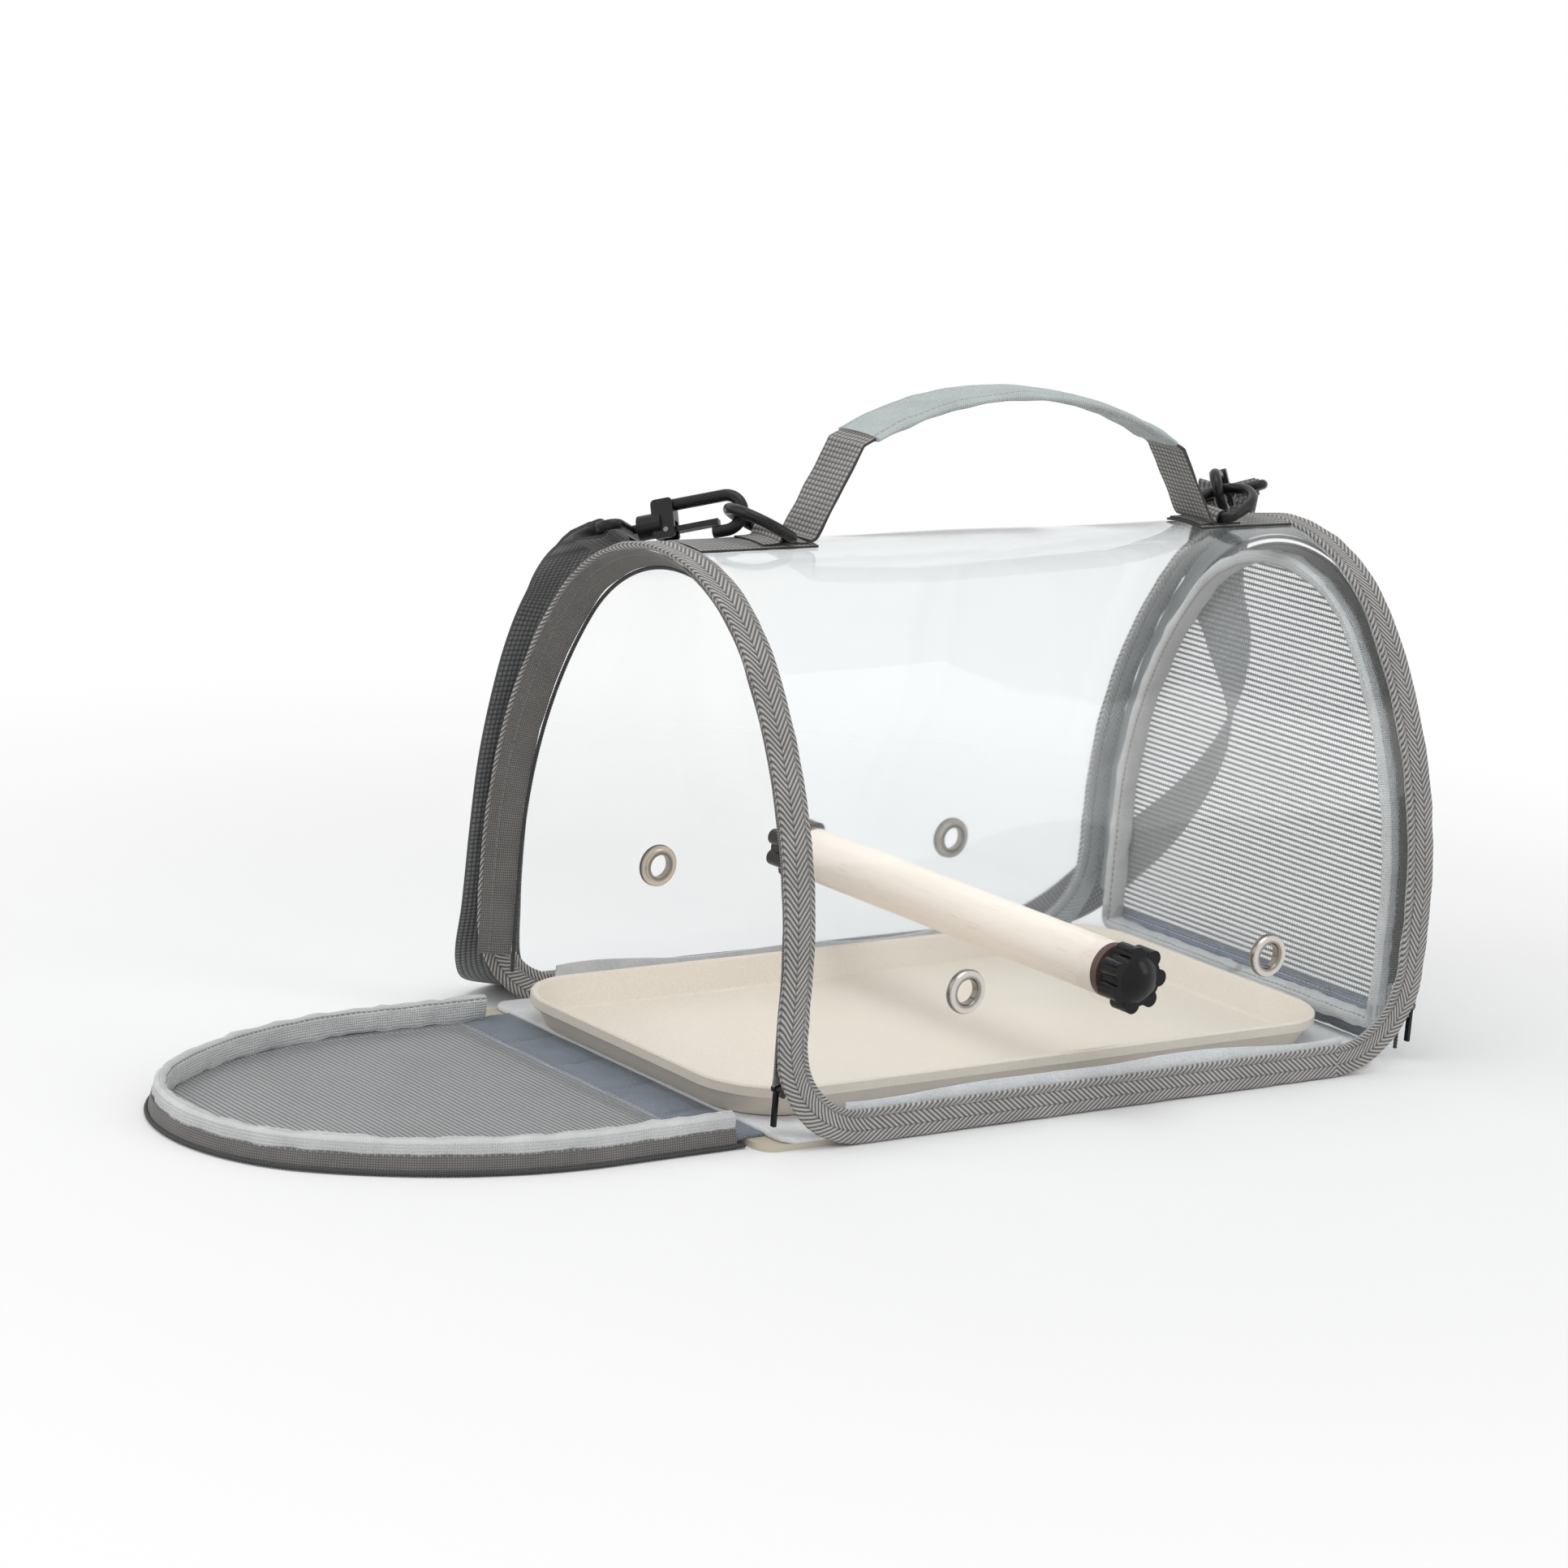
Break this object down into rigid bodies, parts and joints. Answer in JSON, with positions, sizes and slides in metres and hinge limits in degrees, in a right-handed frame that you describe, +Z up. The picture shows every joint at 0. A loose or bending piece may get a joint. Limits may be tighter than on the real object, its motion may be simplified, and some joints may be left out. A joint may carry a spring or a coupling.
{
  "type": "bird travel carrier",
  "caption": "Arched clear soft carrier for a small bird with zipped mesh end doors, sliding tray, wooden perch, carry handle and hooked shoulder strap.",
  "frame": {"origin": "centre of the base board's underside, on the floor", "axes": "+X along the length towards the closed rear door, +Y across, +Z up"},
  "size_m": [0.6355, 0.297, 0.3066],
  "materials": {
    "cream_board": "smooth board with a cut cream edge",
    "white_lining": "plain woven, soft",
    "clear_film": "clear glossy film",
    "herringbone_tape": "herringbone weave, matt",
    "zip_tape": "fine woven tape",
    "zip_coil": "nylon coil",
    "nickel": "nickel plated, polished",
    "perch_wood": "smooth pale wood",
    "brown_rubber": "smooth brown",
    "brass_insert": "threaded insert, plain",
    "knob_plastic": "glossy black",
    "zinc_steel": "zinc plated",
    "tray_plastic": "satin moulded beige",
    "door_mesh": "white mesh with fine grey stripes",
    "rim_tape": "woven pale grey tape",
    "quilted_cotton": "quilted slate blue cotton",
    "slider_metal": "black enamel",
    "pull_plastic": "satin black",
    "webbing": "checker woven grey webbing",
    "wrap_canvas": "pale blue grey canvas with stitched edges",
    "black_plastic": "moulded black acetal",
    "strap_webbing": "dark grey webbing"
  },
  "bodies": {
    "body": {"base_board": "cream_board", "base_lining": "white_lining", "clear_shell": "clear_film", "front_binding": "herringbone_tape", "rear_binding": "herringbone_tape", "near_binding": "herringbone_tape", "far_binding": "herringbone_tape", "front_zip_tape": "zip_tape", "front_zip_coil": "zip_coil", "rear_zip_tape": "zip_tape", "rear_zip_coil": "zip_coil", "eyelets": "nickel", "eyelet_washers": "nickel", "perch": "perch_wood", "perch_end_rings": "brown_rubber", "perch_inserts": "brass_insert", "front_webbing_tail": "webbing", "rear_webbing_tail": "webbing", "shoulder_strap": "strap_webbing"},
    "front_door": {"front_door_mesh": "door_mesh", "front_door_rim": "rim_tape", "front_door_tape": "zip_tape", "front_door_coil": "zip_coil", "front_hinge_strip": "quilted_cotton"},
    "rear_door": {"rear_door_mesh": "door_mesh", "rear_door_rim": "rim_tape", "rear_door_tape": "zip_tape", "rear_door_coil": "zip_coil", "rear_hinge_strip": "quilted_cotton"},
    "tray": {"tray": "tray_plastic"},
    "handle": {"handle_webbing": "webbing", "handle_wrap": "wrap_canvas"},
    "near_knob": {"near_knob": "knob_plastic", "near_stud": "zinc_steel"},
    "far_knob": {"far_knob": "knob_plastic", "far_stud": "zinc_steel"},
    "front_zip_slider": {"front_zip_slider": "slider_metal"},
    "front_zip_pull": {"front_zip_pull": "pull_plastic"},
    "rear_zip_slider": {"rear_zip_slider": "slider_metal"},
    "rear_zip_pull": {"rear_zip_pull": "pull_plastic"},
    "front_ring": {"front_ring": "black_plastic"},
    "rear_ring": {"rear_ring": "black_plastic"},
    "front_hook": {"front_hook": "black_plastic", "front_gate_pin": "zinc_steel"},
    "rear_hook": {"rear_hook": "black_plastic", "rear_gate_pin": "zinc_steel"},
    "front_gate": {"front_gate": "black_plastic"},
    "rear_gate": {"rear_gate": "black_plastic"},
    "front_swivel": {"front_swivel": "black_plastic"},
    "rear_swivel": {"rear_swivel": "black_plastic"}
  },
  "joints": [
    {"name": "front_door_hinge", "type": "hinge", "parent": "body", "child": "front_door", "pos_m": [-0.1895, 0, 0.004], "axis": [0, 1, 0], "range_deg": [0, 90], "deforming": ["front_hinge_strip"]},
    {"name": "rear_door_hinge", "type": "hinge", "parent": "body", "child": "rear_door", "pos_m": [0.187, 0, 0.004], "axis": [0, 1, 0], "range_deg": [0, 90], "deforming": ["rear_hinge_strip", "shoulder_strap"]},
    {"name": "tray_slide", "type": "slide", "parent": "body", "child": "tray", "axis": [1, 0, 0], "range_m": [-0.1, 0]},
    {"name": "handle_tilt", "type": "hinge", "parent": "body", "child": "handle", "pos_m": [0.006, 0, 0.2424], "axis": [1, 0, 0], "range_deg": [-65, 65], "stiffness_Nm_per_rad": 0.08, "deforming": ["handle_webbing"]},
    {"name": "near_knob_spin", "type": "hinge", "parent": "body", "child": "near_knob", "pos_m": [0, -0.1179, 0.063], "axis": [0, -1, 0], "continuous": true},
    {"name": "far_knob_spin", "type": "hinge", "parent": "body", "child": "far_knob", "pos_m": [0, 0.1179, 0.063], "axis": [0, 1, 0], "continuous": true},
    {"name": "front_slider_slide", "type": "slide", "parent": "body", "child": "front_zip_slider", "axis": [0, 0, 1], "range_m": [0, 0.041]},
    {"name": "front_pull_swing", "type": "hinge", "parent": "front_zip_slider", "child": "front_zip_pull", "pos_m": [-0.17805, -0.1044, 0.026], "axis": [0, 1, 0], "range_deg": [0, 150]},
    {"name": "rear_slider_slide", "type": "slide", "parent": "body", "child": "rear_zip_slider", "axis": [0, 0, 1], "range_m": [0, 0.041]},
    {"name": "rear_pull_swing", "type": "hinge", "parent": "rear_zip_slider", "child": "rear_zip_pull", "pos_m": [0.19345, -0.1054, 0.026], "axis": [0, -1, 0], "range_deg": [0, 150]},
    {"name": "front_ring_swing", "type": "hinge", "parent": "body", "child": "front_ring", "pos_m": [-0.124, 0, 0.2443], "axis": [0, 1, 0], "range_deg": [0, 80], "deforming": ["shoulder_strap"]},
    {"name": "rear_ring_swing", "type": "hinge", "parent": "body", "child": "rear_ring", "pos_m": [0.13, 0, 0.2443], "axis": [0, -1, 0], "range_deg": [0, 80], "deforming": ["shoulder_strap"]},
    {"name": "front_hook_swing", "type": "hinge", "parent": "front_ring", "child": "front_hook", "pos_m": [-0.13848, 0.01342, 0.25168], "axis": [0.7716, 0.5, -0.3932], "range_deg": [0, 40], "deforming": ["shoulder_strap"]},
    {"name": "rear_hook_swing", "type": "hinge", "parent": "rear_ring", "child": "rear_hook", "pos_m": [0.14659, 0.01187, 0.25239], "axis": [0.6885, -0.6428, 0.3358], "range_deg": [0, 40], "deforming": ["shoulder_strap"]},
    {"name": "front_gate_hinge", "type": "hinge", "parent": "front_hook", "child": "front_gate", "pos_m": [-0.15698, 0.03279, 0.23999], "axis": [-0.7716, -0.5, 0.3932], "range_deg": [0, 17], "stiffness_Nm_per_rad": 0.05, "springref_deg": -11.46},
    {"name": "rear_gate_hinge", "type": "hinge", "parent": "rear_hook", "child": "rear_gate", "pos_m": [0.16777, 0.03019, 0.24404], "axis": [-0.6885, 0.6428, -0.3358], "range_deg": [0, 17], "stiffness_Nm_per_rad": 0.05, "springref_deg": -11.46},
    {"name": "front_swivel_spin", "type": "hinge", "parent": "front_hook", "child": "front_swivel", "pos_m": [-0.16331, 0.04248, 0.23988], "axis": [0.6209, -0.7263, 0.2949], "range_deg": [-20, 20], "deforming": ["shoulder_strap"]},
    {"name": "rear_swivel_spin", "type": "hinge", "parent": "rear_hook", "child": "rear_swivel", "pos_m": [0.17523, 0.03893, 0.24547], "axis": [0.7159, 0.6764, -0.1732], "range_deg": [-20, 20], "deforming": ["shoulder_strap"]}
  ]
}
